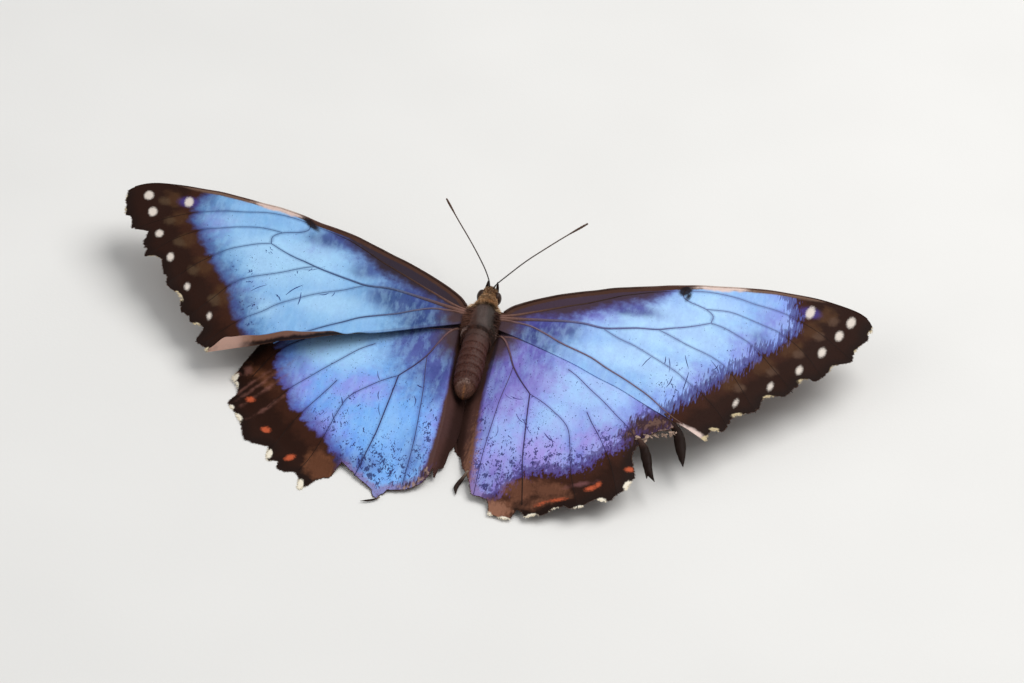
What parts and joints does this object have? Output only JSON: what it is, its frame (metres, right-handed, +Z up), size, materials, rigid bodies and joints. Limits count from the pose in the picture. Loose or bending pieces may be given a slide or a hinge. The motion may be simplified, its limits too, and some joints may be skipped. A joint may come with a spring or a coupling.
{
  "type": "blue morpho butterfly model",
  "caption": "Life-size blue morpho butterfly resting with worn wings spread flat, feelers forward, standing on its feet and hindwing edges.",
  "frame": {"origin": "on the ground plane, under the middle of the model's box", "axes": "+Z up, head towards -Y, the butterfly's own left wing towards +X"},
  "size_m": [0.138, 0.0718, 0.0158],
  "materials": {
    "forewing": "scaled membrane, satin blue with a brown border",
    "hindwing": "scaled membrane, satin violet-blue with a brown border",
    "body_fur": "short brown hair",
    "head_fur": "tawny hair",
    "eye": "glossy dark brown",
    "cuticle": "thin dark brown scales",
    "vein": "dark brown, dull"
  },
  "bodies": {
    "root": {"head": "head_fur", "thorax": "body_fur", "abdomen": "body_fur", "tongue": "cuticle", "eye_left": "eye", "eye_right": "eye", "antenna_left": "cuticle", "antenna_right": "cuticle", "palp_left": "head_fur", "palp_right": "head_fur", "foreleg_left": "cuticle", "foreleg_right": "cuticle", "midleg_left": "cuticle", "midleg_right": "cuticle", "hindleg_left": "cuticle", "hindleg_right": "cuticle", "forewing_left": "forewing", "forewing_right": "forewing", "hindwing_left": "hindwing", "hindwing_right": "hindwing", "vein_stump_inner": "vein", "vein_stump_outer": "vein"}
  },
  "joints": []
}
